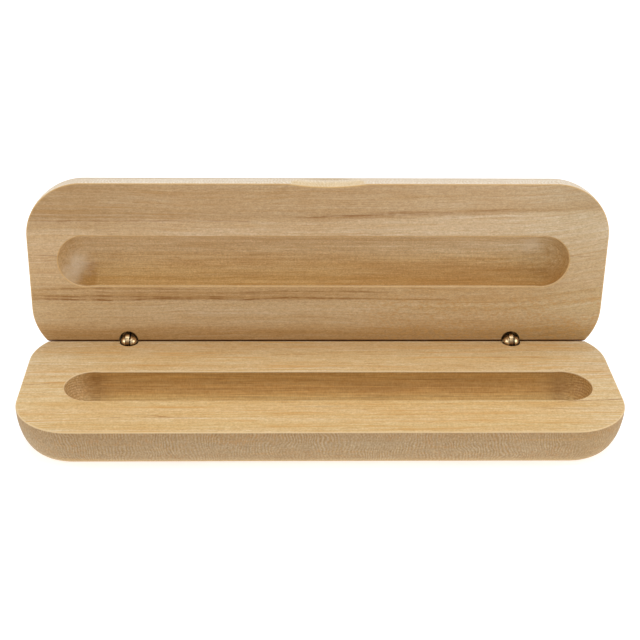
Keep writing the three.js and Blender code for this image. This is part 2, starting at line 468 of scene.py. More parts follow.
# ---------------------------------------------------------------- node tools
class Graph:
    def __init__(self, name):
        self.mat = bpy.data.materials.new(name)
        self.mat.use_nodes = True
        self.tree = self.mat.node_tree
        self.tree.nodes.clear()
        self.out = self.tree.nodes.new("ShaderNodeOutputMaterial")
        self.bsdf = self.tree.nodes.new("ShaderNodeBsdfPrincipled")
        self.tree.links.new(self.bsdf.outputs[0], self.out.inputs["Surface"])

    def put(self, socket, value):
        if isinstance(value, bpy.types.NodeSocket):
            self.tree.links.new(value, socket)
        else:
            socket.default_value = value

    def math(self, op, a, b=0.0, c=None, clamp=False):
        n = self.tree.nodes.new("ShaderNodeMath")
        n.operation = op
        n.use_clamp = clamp
        self.put(n.inputs[0], a)
        self.put(n.inputs[1], b)
        if c is not None:
            self.put(n.inputs[2], c)
        return n.outputs[0]

    def vmath(self, op, a, b=(0, 0, 0)):
        n = self.tree.nodes.new("ShaderNodeVectorMath")
        n.operation = op
        self.put(n.inputs[0], a)
        self.put(n.inputs[1], b)
        return n.outputs[0]

    def coords(self, which="Object"):
        return self.tree.nodes.new("ShaderNodeTexCoord").outputs[which]

    def split(self, v):
        n = self.tree.nodes.new("ShaderNodeSeparateXYZ")
        self.put(n.inputs[0], v)
        return n.outputs[0], n.outputs[1], n.outputs[2]

    def join(self, x, y, z):
        n = self.tree.nodes.new("ShaderNodeCombineXYZ")
        for s, v in zip(n.inputs, (x, y, z)):
            self.put(s, v)
        return n.outputs[0]

    def noise(self, v, scale=1.0, detail=2.0, rough=0.5, distort=0.0, lac=2.0):
        n = self.tree.nodes.new("ShaderNodeTexNoise")
        n.noise_dimensions = "3D"
        self.put(n.inputs["Vector"], v)
        for k, val in (("Scale", scale), ("Detail", detail), ("Roughness", rough), ("Lacunarity", lac), ("Distortion", distort)):
            self.put(n.inputs[k], val)
        return n.outputs["Fac"] if "Fac" in n.outputs else n.outputs[0]

    def remap(self, v, a, b, c=0.0, d=1.0, smooth=True):
        n = self.tree.nodes.new("ShaderNodeMapRange")
        n.interpolation_type = "SMOOTHSTEP" if smooth else "LINEAR"
        n.clamp = True
        self.put(n.inputs[0], v)
        for i, val in enumerate((a, b, c, d)):
            self.put(n.inputs[i + 1], val)
        return n.outputs[0]

    def ramp(self, v, stops):
        n = self.tree.nodes.new("ShaderNodeValToRGB")
        cr = n.color_ramp
        while len(cr.elements) > 1:
            cr.elements.remove(cr.elements[-1])
        cr.elements[0].position, cr.elements[0].color = stops[0][0], (*stops[0][1], 1)
        for p, c in stops[1:]:
            e = cr.elements.new(p)
            e.color = (*c, 1)
        self.put(n.inputs[0], v)
        return n.outputs[0]

    def mix(self, fac, a, b, blend="MIX"):
        n = self.tree.nodes.new("ShaderNodeMix")
        n.data_type = "RGBA"
        n.blend_type = blend
        n.clamp_factor = True
        self.put(n.inputs[0], fac)
        col = [s for s in n.inputs if s.type == "RGBA"]
        self.put(col[0], a if isinstance(a, bpy.types.NodeSocket) else (*a, 1))
        self.put(col[1], b if isinstance(b, bpy.types.NodeSocket) else (*b, 1))
        return [s for s in n.outputs if s.type == "RGBA"][0]

    def gain(self, color, value):
        """Multiplies a colour by a number."""
        n = self.tree.nodes.new("ShaderNodeVectorMath")
        n.operation = "SCALE"
        self.put(n.inputs[0], color)
        self.put(n.inputs["Scale"], value)
        return n.outputs[0]

    def bump(self, height, strength, distance, normal=None):
        n = self.tree.nodes.new("ShaderNodeBump")
        n.inputs["Strength"].default_value = strength
        n.inputs["Distance"].default_value = distance
        self.put(n.inputs["Height"], height)
        if normal is not None:
            self.put(n.inputs["Normal"], normal)
        return n.outputs[0]


def srgb(r, g, b):
    f = lambda c: (c / 255) / 12.92 if c / 255 <= 0.04045 else ((c / 255 + 0.055) / 1.055) ** 2.4
    return (f(r), f(g), f(b))


# Tones of the two boards: (distance across the board in mm, colour). Both run darker towards the hinge line: on the
# base this is painted shade from the open lid; on the lid it is darker towards the crease, partly painted shade where
# it meets the base
BANDS = {
    "base": [(-62, (205, 171, 118)), (-51, (209, 177, 128)), (-47.5, (205, 172, 118)), (-45, (210, 178, 129)), (-42.5, (205, 170, 115)), (-40.5, (210, 177, 127)), (-37, (204, 169, 114)), (-34, (207, 174, 122)), (-26, (204, 171, 119)), (-18, (205, 174, 128)), (-15, (200, 168, 120)), (-11, (204, 174, 127)), (-7.5, (197, 165, 117)), (-4, (195, 161, 113)), (8, (198, 166, 118))],
    "lid": [(-64, (178, 144, 101)), (-51, (179, 146, 104)), (-44, (184, 152, 111)), (-40.6, (178, 145, 103)), (-39.4, (192, 161, 121)), (-35, (200, 171, 133)), (-27, (194, 161, 119)), (-19, (194, 161, 117)), (-17.6, (188, 153, 106)), (-14.2, (181, 144, 96)), (-13.0, (197, 167, 125)), (-8, (198, 168, 126)), (-5, (193, 160, 116)), (-3.8, (184, 147, 99)), (-2.6, (176, 138, 89)), (8, (168, 129, 80))],
    "lid_right": [(-64, (184, 152, 112)), (-51, (186, 155, 115)), (-44, (188, 157, 117)), (-40.7, (184, 151, 109)), (-39.9, (200, 172, 134)), (-35, (203, 177, 141)), (-27, (196, 164, 122)), (-19, (194, 160, 116)), (-16.5, (191, 157, 110)), (-14.6, (194, 160, 114)), (-12.0, (199, 168, 123)), (-8, (196, 164, 120)), (-5, (187, 151, 104)), (-3.4, (179, 142, 93)), (-2.2, (172, 135, 87)), (8, (168, 129, 80))],
}
# Tones of the sides: the base's is its side grain darkened with painted shade; the lid's is a painted highlight on its
# front side, fading to FAR_TONE away from the joint and to the lid's END_TONE on its ends and hinge side
SIDE_LIGHT_SHADE_TONE = {"base": (163, 137, 102), "lid": (228, 213, 191)}
END_TONE = {"base": (166, 139, 101), "lid": (200, 177, 138)}
FAR_TONE = (192, 167, 129)
# painted highlight tones for the eased edges
RIM_HIGHLIGHT_TONE = {"base": (224, 196, 150), "lid": (206, 166, 104)}
DARK_TONE = {"base": (150, 98, 44), "lid": (136, 90, 42)}
# painted shade and light inside the trough, as gains on the colour:
TROUGH_SHADE_GAIN = {  # towards the back wall, towards the front wall
    "base": ((0.76, 0.59, 0.33), (0.78, 0.70, 0.52)),
    "lid": ((0.98, 0.89, 0.66), (1.06, 1.08, 1.06)),
}
TROUGH_END_TONE = {  # at the left end, at the right end
    "base": ((190, 155, 106), (164, 124, 72)),
    "lid": ((196, 164, 118), (196, 164, 118)),
}
# amplitude of the grain layers on red, green and blue
GRAIN = {
    "base": {"streak": (0.10, 0.40, 1.00), "fibre": (0.30, 0.80, 1.70), "short": (0.34, 0.56, 1.00), "speck": (0.46, 0.56, 0.76)},
    "lid": {"streak": (0.22, 0.44, 0.90), "fibre": (0.20, 0.44, 0.90), "short": (0.36, 0.50, 0.76), "speck": (0.58, 0.66, 0.80)},
}
# single dark lines in the grain: x from, x to, y at x from, slope, bow, half-width, strength
LINES = {
    "base": [(66, 96, -35.9, 0.095, 0.0, 0.17, 0.8), (60, 82, -38.7, -0.05, 0.0, 0.15, 0.6), (-52, -38, -42.0, -0.14, 0.0, 0.17, 0.7), (-90, -70, -26.3, 0.12, 0.0, 0.16, 0.5), (50, 78, -9.8, -0.03, 0.0, 0.22, 0.4), (-62, -30, -43.6, 0.01, 0.0, 0.2, 0.35), (-10, 14, -38.2, 0.02, 0.0, 0.15, 0.4)],
    "lid": [(-8, 34, -40.5, -0.040, 0.12, 0.20, 0.72), (14, 62, -41.9, -0.030, -0.15, 0.18, 0.5), (4, 50, -40.6, -0.040, 0.2, 0.30, 0.28), (36, 78, -42.6, -0.012, 0.1, 0.24, 0.22), (-90, -20, -15.3, 0.012, 0.12, 0.20, 0.72), (-90, 14, -13.9, -0.004, -0.12, 0.20, 0.85), (-88, -30, -17.6, 0.004, 0.1, 0.18, 0.5), (-30, 26, -16.4, -0.006, 0.1, 0.18, 0.6), (-70, -8, -16.5, 0.010, 0.15, 0.13, 0.45), (-16, 44, -14.6, 0.012, 0.1, 0.16, 0.5), (-96, -16, -39.5, -0.001, 0.0, 0.14, 0.55), (-96, -72, -28.6, 0.01, 0.0, 0.13, 0.5), (58, 92, -27.0, -0.06, 0.0, 0.12, 0.3)],
}


def wood_material(name, which):
    g = Graph(name)
    lid = which == "lid"
    flip = (1, 1, -1) if lid else (1, 1, 1)
    p = g.vmath("MULTIPLY", g.coords("Object"), tuple(1000 * f for f in flip))  # mm, as the base lies
    nrm = g.vmath("MULTIPLY", g.coords("Normal"), flip)
    x, y, z = g.split(p)
    nx, ny, nz = g.split(nrm)
    anx, anz = g.math("ABSOLUTE", nx), g.math("ABSOLUTE", nz)
    seed = 11.3 if lid else 3.7
    centred = lambda n: g.math("SUBTRACT", n, 0.5)
    at = lambda ax, ay, az, s=0.0, yy=None, zz=None: g.join(
        g.math("MULTIPLY_ADD", x, ax, seed + s), g.math("MULTIPLY", yy or y, ay), g.math("MULTIPLY", zz or z, az)
    )

    # where: inside the trough, at its ends, on the upright sides, on the end grain
    dx = g.math("SUBTRACT", x, TROUGH_SHIFT[which])
    along = g.math("MAXIMUM", g.math("SUBTRACT", g.math("ABSOLUTE", dx), TROUGH_HALF - TROUGH_R), 0.0)
    across = g.math("ADD", y, TROUGH_FROM_PIVOT)
    deep_z = g.math("ADD", z, GAP)
    dist = g.math("SQRT", g.math("ADD", g.math("MULTIPLY", deep_z, deep_z), g.math("ADD", g.math("MULTIPLY", along, along), g.math("MULTIPLY", across, across))))
    trough = g.math("MULTIPLY", g.remap(dist, 8.75, 8.35), g.remap(z, -GAP - 0.2, -GAP - 0.55))
    trough_end = g.math("MULTIPLY", trough, g.remap(along, 0.0, 7.0))
    outer = g.math("SUBTRACT", 1.0, trough)
    side = g.math("MULTIPLY", outer, g.remap(anz, 0.82, 0.4))
    end = g.math("MULTIPLY", side, g.remap(anx, 0.5, 0.95))

    # slow drift of the grain, so that the lines wander along the board
    drift = centred(g.noise(at(0.011, 0.03, 0.03), 1.0, 2.0, 0.5))
    ripple = centred(g.noise(at(0.06, 0.12, 0.12, 5.0), 1.0, 2.0, 0.5))
    amp = 5.0 if lid else 3.2
    y2 = g.math("ADD", g.math("MULTIPLY_ADD", drift, amp, y), g.math("MULTIPLY", ripple, 0.9))
    if lid:
        rise = g.math("MAXIMUM", g.math("SUBTRACT", x, 50.0), 0.0)
        y2 = g.math("ADD", y2, g.math("MULTIPLY", g.math("MULTIPLY", rise, rise), 0.0028))
    z2 = g.math("MULTIPLY_ADD", drift, -amp * 0.6, z)
    if lid:
        bow = g.math("MULTIPLY", g.math("MAXIMUM", g.math("SUBTRACT", x, 25.0), 0.0), 0.05)
        w = g.math("ADD", y, g.math("MULTIPLY", bow, g.remap(y, -22.0, -36.0)))
        w = g.math("ADD", w, g.math("MULTIPLY", ripple, 1.1))
    else:
        w = g.math("ADD", y2, g.math("MULTIPLY", ripple, 1.5))
    w = g.math("MULTIPLY_ADD", g.math("ADD", z, GAP), 0.55, w)
    stops = BANDS[which]
    lo, hi = stops[0][0], stops[-1][0]
    col = g.ramp(g.remap(w, lo, hi, smooth=False), [((s - lo) / (hi - lo), srgb(*c)) for s, c in stops])
    if lid:
        other = g.ramp(g.remap(w, lo, hi, smooth=False), [((s - lo) / (hi - lo), srgb(*c)) for s, c in BANDS["lid_right"]])
        col = g.mix(g.remap(g.math("MULTIPLY_ADD", ripple, 40.0, x), -25.0, 50.0), col, other)

    streaks = centred(g.noise(at(0.009, 0.85, 0.85, 2.0, y2, z2), 1.0, 3.0, 0.62))
    fibre = centred(g.noise(at(0.045, 2.9, 2.9, 4.0, y2, z2), 1.0, 2.0, 0.65))
    short = centred(g.noise(at(*((0.50, 2.6, 2.6) if lid else (0.42, 1.5, 1.5)), 6.0, y2, z2), 1.0, 2.0, 0.6))
    speck = centred(g.noise(at(*((1.9, 3.0, 3.0) if lid else (1.7, 1.8, 1.8)), 8.0), 1.0, 1.0, 0.6))
    mottle = centred(g.noise(at(0.035, 0.10, 0.10, 9.0), 1.0, 2.0, 0.5))
    cloud = centred(g.noise(at(0.16, 0.30, 0.30, 14.0), 1.0, 2.0, 0.6))

    def tint(colour, amount, rgb, scale=1.0):
        n = g.tree.nodes.new("ShaderNodeVectorMath")
        n.operation = "SCALE"
        n.inputs[0].default_value = tuple(scale * c for c in rgb)
        g.put(n.inputs["Scale"], amount)
        return g.vmath("MULTIPLY", colour, g.vmath("ADD", n.outputs[0], (1.0, 1.0, 1.0)))

    # the lid is a little paler towards one end
    if lid:
        col = tint(col, g.math("MULTIPLY", x, 0.01), (0.02, 0.03, 0.05))
        col = tint(col, g.math("MULTIPLY", g.remap(x, -42.0, -68.0), g.remap(y, -34.0, -38.0)), (-0.09, -0.11, -0.15))
        col = tint(col, g.math("MULTIPLY", g.remap(x, 62.0, 82.0), g.remap(y, -34.0, -44.0)), (-0.05, -0.06, -0.08))
        col = tint(col, g.remap(x, 50.0, 80.0), (-0.04, 0.00, 0.03))
    else:
        col = tint(col, g.remap(g.math("ABSOLUTE", x), 62.0, 84.0), (0.03, 0.08, 0.19))
        col = tint(col, g.remap(x, 66.0, 84.0), (0.015, 0.035, 0.08))
    if lid:
        # painted highlight on the front side, which faces up when the lid is open: palest along the joint, fading away
        # from it; the ends and the hinge side get plainer tones by the way they face
        joint_highlight = g.remap(z, -GAP - 8.2, -GAP - 4.6)
        front_highlight_tone = g.mix(joint_highlight, srgb(*FAR_TONE), srgb(*SIDE_LIGHT_SHADE_TONE[which]))
        tone = g.mix(g.remap(ny, -0.15, -0.70), srgb(*END_TONE[which]), front_highlight_tone)
        col = g.mix(g.math("MULTIPLY", side, 0.92), col, tone)
    else:
        # the base's sides take its side-grain tone, darkened with painted shade because the wall faces away from the
        # light above
        col = g.mix(g.math("MULTIPLY", side, 0.92), col, srgb(*SIDE_LIGHT_SHADE_TONE[which]))
        col = g.mix(g.math("MULTIPLY", end, 0.8), col, srgb(*END_TONE[which]))

    if lid:
        land, inset = SIDES[which]
        u = g.math("DIVIDE", g.math("SUBTRACT", g.math("MULTIPLY", z, -1.0), GAP + land), HALF_T - land)
        u = g.math("MINIMUM", g.math("MAXIMUM", u, 0.0), 0.98)
        skin = g.math("MULTIPLY_ADD", g.math("SUBTRACT", 1.0, g.math("SQRT", g.math("SUBTRACT", 1.0, g.math("MULTIPLY", u, u)))), inset, CHAMFER_BACK - WIDTH)
        cut_in = g.math("MULTIPLY", g.remap(g.math("SUBTRACT", y, skin), 0.06, 0.25), g.remap(g.math("ABSOLUTE", g.math("SUBTRACT", x, NOTCH_X)), 13.0, 11.5))
        cut_in = g.math("MULTIPLY", cut_in, g.math("MULTIPLY", side, g.remap(y, -49.0, -49.8)))
        cut_in = g.math("MULTIPLY", cut_in, g.remap(z, -GAP - 6.5, -GAP - 2.2))
        col = g.mix(g.math("MULTIPLY", cut_in, 0.75), col, srgb(222, 194, 146))

    # painted shade inside the trough: darker and browner towards the back wall, less so towards the front wall, where
    # the lid's is a little lighter
    back, front = TROUGH_SHADE_GAIN[which]
    toward = g.remap(across, 5.5, -4.0)
    gain = g.mix(toward, back, front)
    trough_shade_col = g.vmath("MULTIPLY", col, gain)
    col = g.mix(trough, col, trough_shade_col)
    col = g.mix(g.math("MULTIPLY", trough_end, g.remap(x, -20.0, 20.0, 0.75, 0.10) if lid else g.remap(x, -20.0, 20.0, 0.95, 0.62)), col, g.mix(g.remap(x, -20.0, 20.0), *(srgb(*c) for c in TROUGH_END_TONE[which])))
    # more painted light and shade in the trough: on the lid, darker on the wall nearer the hinge, more so to the
    # right, and at the right end, lighter near the edge away from the hinge; on the base, darker in a band part way
    # down the walls, lighter and paler at the bottom
    if lid:
        shade = g.math("MULTIPLY", g.remap(across, 1.5, 6.0), g.remap(x, -10.0, 36.0))
        col = tint(col, g.math("MULTIPLY", shade, trough), (-0.12, -0.20, -0.31))
        col = tint(col, g.math("MULTIPLY", g.remap(across, -5.2, -7.4), trough), (0.10, 0.13, 0.14))
        col = tint(col, g.math("MULTIPLY", g.remap(x, 66.5, 76.0), trough), (-0.21, -0.30, -0.44))
    else:
        shade = g.math("MULTIPLY", g.remap(z, -1.6, -3.0), g.remap(z, -6.6, -5.2))
        col = tint(col, g.math("MULTIPLY", shade, trough), (-0.11, -0.13, -0.15))
        col = tint(col, g.math("MULTIPLY", g.remap(z, -5.8, -6.9), trough), (0.01, 0.13, 0.34))
    # a darker brown zone near the ends of the trough
    trough_end_darkening = g.math("MULTIPLY", g.remap(g.math("ABSOLUTE", dx), TROUGH_HALF - 14.0, TROUGH_HALF - 8.0), trough)
    if lid:
        trough_end_darkening = g.math("MULTIPLY", g.remap(g.math("MULTIPLY", dx, -1.0), TROUGH_HALF - 11.4, TROUGH_HALF - 9.8), trough)
        trough_end_darkening = g.math("MULTIPLY", trough_end_darkening, g.remap(g.math("MULTIPLY_ADD", cloud, 3.0, across), -0.5, 5.5))
        col = tint(col, trough_end_darkening, (-0.16, -0.24, -0.38))
    else:
        trough_end_darkening = g.math("MULTIPLY", trough_end_darkening, g.remap(g.math("ABSOLUTE", dx), TROUGH_HALF - 3.0, TROUGH_HALF - 8.0))
        col = tint(col, trough_end_darkening, (-0.16, -0.19, -0.20))

    amounts = GRAIN[which]
    faces = g.math("MULTIPLY_ADD", side, -0.75, 1.0)
    calm = faces if lid else g.math("MULTIPLY", faces, g.math("MULTIPLY_ADD", trough, -0.60, 1.0))
    col = tint(col, g.math("MULTIPLY", streaks, calm), amounts["streak"])
    col = tint(col, g.math("MULTIPLY", fibre, calm), amounts["fibre"])
    col = tint(col, g.math("MULTIPLY", short, faces), amounts["short"])
    col = tint(col, speck if lid else g.math("MULTIPLY", speck, g.math("MULTIPLY_ADD", trough, -0.5, 1.0)), amounts["speck"])
    col = tint(col, mottle, (0.10, 0.18, 0.30))
    col = tint(col, cloud, (0.08, 0.14, 0.24))

    # thin resinous lines that come and go
    resin_n = g.noise(at(*((0.020, 1.7, 1.7) if lid else (0.026, 1.05, 1.05)), 17.0, y2, z2), 1.0, 3.0, 0.62)
    resin = g.math("MULTIPLY", g.remap(resin_n, 0.56, 0.66), faces)
    resin = g.math("MULTIPLY", resin, g.math("MULTIPLY_ADD", trough, -0.85, 1.0))
    col = g.mix(g.math("MULTIPLY", resin, 0.36 if lid else 0.72), col, srgb(*((174, 130, 74) if lid else (200, 151, 82))))
    pale_n = g.noise(at(0.025, 1.9, 1.9, 19.0, y2, z2), 1.0, 3.0, 0.6)
    pale = g.math("MULTIPLY", g.remap(pale_n, 0.60, 0.70), faces)
    pale = g.math("MULTIPLY", pale, g.math("MULTIPLY_ADD", trough, -0.9, 1.0))
    col = g.mix(g.math("MULTIPLY", pale, 0.35), col, srgb(*((206, 180, 146) if lid else (226, 202, 164))))

    # pores: short dark dashes gathered in some of the bands
    dash_n = g.noise(at(*((0.30, 3.6, 3.6) if lid else (0.24, 1.9, 1.9)), 20.0, y2, z2), 1.0, 1.0, 0.5)
    where = g.remap(g.noise(at(0.03, 0.35, 0.35, 23.0), 1.0, 2.0, 0.5), 0.44, 0.62)
    dashes = g.math("MULTIPLY", g.remap(dash_n, 0.66, 0.76), g.math("MULTIPLY_ADD", where, 0.8, 0.2))
    dashes = g.math("MULTIPLY", dashes, faces)
    col = g.mix(g.math("MULTIPLY", dashes, 0.30 if lid else 0.34), col, srgb(*DARK_TONE[which]))

    if lid:
        # orange flecks in the plainer wood towards one corner
        spot = g.remap(g.noise(at(0.8, 1.9, 1.9, 71.0), 1.0, 2.0, 0.6), 0.51, 0.60)
        zone = g.math("MULTIPLY", g.remap(x, -5.0, 30.0), g.math("MULTIPLY", g.remap(y, -19.0, -12.0), g.remap(g.noise(at(0.05, 0.12, 0.12, 73.0), 1.0, 1.0, 0.5), 0.30, 0.52)))
        col = g.mix(g.math("MULTIPLY", g.math("MULTIPLY", spot, zone), g.math("MULTIPLY", outer, 0.5)), col, srgb(190, 142, 78))

    # single dark lines
    broken = g.remap(g.noise(at(0.10, 0.0, 0.0, 31.0), 1.0, 3.0, 0.7), 0.38, 0.60)
    thick = g.noise(at(0.45, 0.0, 0.0, 37.0), 1.0, 2.0, 0.6)
    lines = None
    for x0, x1, y0, slope, bend, half, strength in LINES[which]:
        t = g.math("SUBTRACT", x, x0)
        centre = g.math("MULTIPLY_ADD", t, slope, y0)
        centre = g.math("MULTIPLY_ADD", ripple, 1.6, centre)
        if bend:
            centre = g.math("MULTIPLY_ADD", g.math("SINE", g.math("MULTIPLY", t, 0.17)), bend, centre)
        off = g.math("ABSOLUTE", g.math("SUBTRACT", y, centre))
        width = g.math("MULTIPLY_ADD", thick, 2.0 * half, 0.35 * half)
        m = g.math("MULTIPLY", g.remap(g.math("DIVIDE", off, width), 1.5, 0.5), g.remap(x, x0, x0 + 4.0))
        m = g.math("MULTIPLY", m, g.remap(x, x1, x1 - 8.0))
        m = g.math("MULTIPLY", m, strength)
        lines = m if lines is None else g.math("MAXIMUM", lines, m)
    top = g.math("MULTIPLY", outer, g.remap(z, -GAP - 4.0, -GAP - 0.3))
    lines = g.math("MULTIPLY", g.math("MULTIPLY", lines, top), g.math("MULTIPLY_ADD", broken, 0.8, 0.2))
    col = g.mix(lines, col, srgb(*DARK_TONE[which]))

    if not lid:
        fall = g.remap(z, -GAP - 1.0, -GAP - 11.0, -0.05, 0.09, smooth=False)
        col = tint(col, g.math("MULTIPLY", g.math("MULTIPLY_ADD", x, 0.0005, fall), side), (1.0, 1.0, 1.0))
        warm = g.math("MULTIPLY", g.remap(z, -GAP - 4.5, -GAP - 0.8), side)
        col = tint(col, warm, (0.02, -0.03, -0.10))
        col = tint(col, g.math("MULTIPLY", g.remap(x, 60.0, 80.0), side), (-0.04, -0.07, -0.14))

    # upright fleck on the sides, curled like a fingerprint, and a weaker one inside the trough
    lengthwise = g.math("ADD", x, 0.0)
    edge = g.math("MINIMUM", g.math("ADD", y, WIDTH - CHAMFER_BACK), g.math("SUBTRACT", CHAMFER_BACK, y))
    turn = g.math("MULTIPLY", g.math("MULTIPLY", g.math("SIGN", x), edge), g.remap(g.math("ABSOLUTE", x), 60.0, 72.0))
    run = g.math("ADD", lengthwise, turn)
    warp = centred(g.noise(at(0.055, 0.05, 0.10, 41.0), 1.0, 2.0, 0.45))
    jitter = centred(g.noise(at(0.5, 0.4, 0.35, 43.0), 1.0, 2.0, 0.5))
    phase = g.math("MULTIPLY_ADD", run, 1.12, g.math("MULTIPLY_ADD", warp, 10.0, g.math("MULTIPLY", jitter, 1.2)))
    curl = g.math("SINE", g.math("MULTIPLY", phase, 2 * math.pi))
    fade = g.remap(g.noise(at(0.12, 0.2, 0.2, 47.0), 1.0, 2.0, 0.6), 0.34, 0.62)
    grit = centred(g.noise(at(2.3, 2.0, 1.5, 53.0), 1.0, 2.0, 0.7))
    fleck = g.math("MULTIPLY", curl, g.math("MULTIPLY_ADD", fade, 0.75, 0.25))
    col = tint(col, g.math("MULTIPLY", fleck, side), (0.12, 0.21, 0.38), 0.82 if which == "base" else 0.4)
    col = tint(col, g.math("MULTIPLY", grit, side), (0.85, 1.05, 1.30), 1.0 if which == "base" else 0.28)
    if not lid:
        warm_fleck = g.remap(g.noise(at(1.7, 1.5, 0.8, 57.0), 1.0, 1.0, 0.6), 0.53, 0.66)
        warm_zone = g.remap(g.noise(at(0.06, 0.1, 0.35, 58.0), 1.0, 2.0, 0.6), 0.36, 0.60)
        col = g.mix(g.math("MULTIPLY", g.math("MULTIPLY", warm_fleck, warm_zone), g.math("MULTIPLY", side, 0.40)), col, srgb(176, 128, 74))
    bar = centred(g.noise(at(*((2.2, 0.8, 0.8) if lid else (3.6, 0.9, 0.9)), 59.0), 1.0, 1.0, 0.6))
    col = tint(col, g.math("MULTIPLY", bar, trough), (0.75, 0.85, 1.0), 0.35 if lid else 0.52)
    deep = centred(g.noise(at(*((0.05, 1.1, 1.1) if lid else (0.05, 2.8, 2.8)), 61.0), 1.0, 2.0, 0.6))
    col = tint(col, g.math("MULTIPLY", deep, trough), (0.5, 0.75, 1.1) if lid else (0.98, 1.14, 1.40))
    # growth rings cut across at the ends of the trough
    ringr = g.math("SQRT", g.math("ADD", g.math("MULTIPLY", across, across), g.math("MULTIPLY", g.math("ADD", z, 17.0), g.math("ADD", z, 17.0))))
    rings = g.math("SINE", g.math("MULTIPLY_ADD", ringr, 8.5, g.math("MULTIPLY", jitter, 3.0)))
    col = tint(col, g.math("MULTIPLY", rings, trough_end), (0.10, 0.14, 0.20), 0.3 if lid else 1.25)
    if not lid:
        col = tint(col, g.math("MULTIPLY", grit, trough_end), (0.9, 1.1, 1.4))
    if lid:
        # torn end grain catches the light as a pale patch inside each end
        for cx, cy, rad, s in ((-74.1, -22.3, 6.4, 0.62), (65.6, -30.0, 4.2, 0.5)):
            q = g.math("SQRT", g.math("ADD", g.math("POWER", g.math("ABSOLUTE", g.math("SUBTRACT", x, cx)), 2.0), g.math("POWER", g.math("ABSOLUTE", g.math("SUBTRACT", y, cy)), 2.0)))
            torn = g.math("ADD", g.math("MULTIPLY", cloud, 8.0), g.math("MULTIPLY", grit, 4.5))
            patch = g.math("MULTIPLY", g.remap(g.math("ADD", torn, q), rad, 0.0), trough)
            patch = g.math("MULTIPLY", patch, g.math("MULTIPLY_ADD", grit, 1.6, 1.0))
            col = g.mix(g.math("MULTIPLY", patch, s), col, srgb(226, 208, 180))

    # painted highlight along the eased edges
    rim_highlight = g.math("MULTIPLY", g.remap(nz, 0.15, 0.45), g.remap(nz, 0.995, 0.93))
    rim_highlight = g.math("MULTIPLY", rim_highlight, g.remap(z, -GAP - RIM_R * 1.6, -GAP - RIM_R * 1.1))
    if lid:
        rim_highlight = g.math("MULTIPLY", rim_highlight, g.remap(y, -0.8, -1.6))
    col = g.mix(g.math("MULTIPLY", rim_highlight, 0.55 if lid else 0.65), col, srgb(*RIM_HIGHLIGHT_TONE[which]))

    # painted shade where the two chamfers meet, in the crease
    half_open = math.radians(OPEN_ANGLE / 2)
    facing = g.math("ADD", g.math("MULTIPLY", ny, math.sin(half_open)), g.math("MULTIPLY", nz, math.cos(half_open)))
    down = g.math("SUBTRACT", g.math("MULTIPLY", y, math.cos(half_open)), g.math("MULTIPLY", deep_z, math.sin(half_open)))
    crease_shade = g.math("MULTIPLY", g.remap(facing, 0.80, 0.94), g.math("MULTIPLY", g.remap(down, 2.0, 0.6), g.remap(y, -1.6, -0.9)))
    col = g.mix(g.math("MULTIPLY", crease_shade, 0.85), col, srgb(136, 84, 36))

    g.put(g.bsdf.inputs["Base Color"], col)
    rough = g.math("MULTIPLY_ADD", fibre, 0.25, 0.55)
    rough = g.math("MULTIPLY_ADD", side, 0.08, rough)
    g.put(g.bsdf.inputs["Roughness"], rough)
    g.bsdf.inputs["IOR"].default_value = 1.45
    g.bsdf.inputs["Specular IOR Level"].default_value = 0.35
    h = g.math("ADD", g.math("MULTIPLY", fibre, 0.7), g.math("MULTIPLY", short, 0.8))
    h = g.math("SUBTRACT", h, g.math("MULTIPLY", g.math("ADD", dashes, lines), 0.7))
    h = g.math("ADD", h, g.math("MULTIPLY", g.math("MULTIPLY", grit, side), 0.9))
    g.put(g.bsdf.inputs["Normal"], g.bump(h, 0.30, 0.00007))
    return g.mat


def brass_material(name, tint=1.0, tarnish=0.35, slot_shade=0.0, underside_shade=0.0):
    g = Graph(name)
    p = g.vmath("MULTIPLY", g.coords("Object"), (1000, 1000, 1000))
    blot = g.noise(p, 0.9, 4.0, 0.6)
    fine = g.noise(p, 6.0, 3.0, 0.6)
    x, y, z = g.split(p)
    turn = g.noise(g.join(g.math("MULTIPLY", x, 0.8), g.math("MULTIPLY", y, 0.8), g.math("MULTIPLY", z, 14.0)), 1.0, 2.0, 0.5)
    col = g.ramp(blot, [(0.3, tuple(c * tint for c in srgb(208, 174, 128))), (0.5, tuple(c * tint for c in srgb(232, 203, 158))), (0.72, tuple(c * tint for c in srgb(244, 221, 180)))])
    dull = g.math("MULTIPLY", g.remap(fine, 0.52, 0.74), tarnish)
    col = g.mix(dull, col, srgb(120, 82, 46))
    # painted shade: faces that look along the pin's axis, such as the slot walls and the tongue's flat sides, turn
    # dark
    if slot_shade:
        nx, ny, nz = g.split(g.coords("Normal"))
        col = g.mix(g.math("MULTIPLY", g.remap(g.math("ABSOLUTE", nx), 0.90, 0.985), slot_shade), col, srgb(46, 28, 14))
        # painted shade on faces that look down and forward when the lid is open
        if underside_shade:
            low = g.math("ADD", g.math("MULTIPLY", nz, -0.85), g.math("MULTIPLY", ny, 0.5))
            col = g.mix(g.math("MULTIPLY", g.remap(low, 0.25, 0.80), underside_shade), col, srgb(128, 88, 48))
    g.put(g.bsdf.inputs["Base Color"], col)
    g.bsdf.inputs["Metallic"].default_value = 1.0
    rough = g.math("MULTIPLY_ADD", blot, 0.2, g.math("MULTIPLY_ADD", dull, 0.25, 0.2))
    g.put(g.bsdf.inputs["Roughness"], rough)
    h = g.math("ADD", g.math("MULTIPLY", turn, 0.6), g.math("MULTIPLY", fine, 0.4))
    g.put(g.bsdf.inputs["Normal"], g.bump(h, 0.25, 0.00002))
    return g.mat


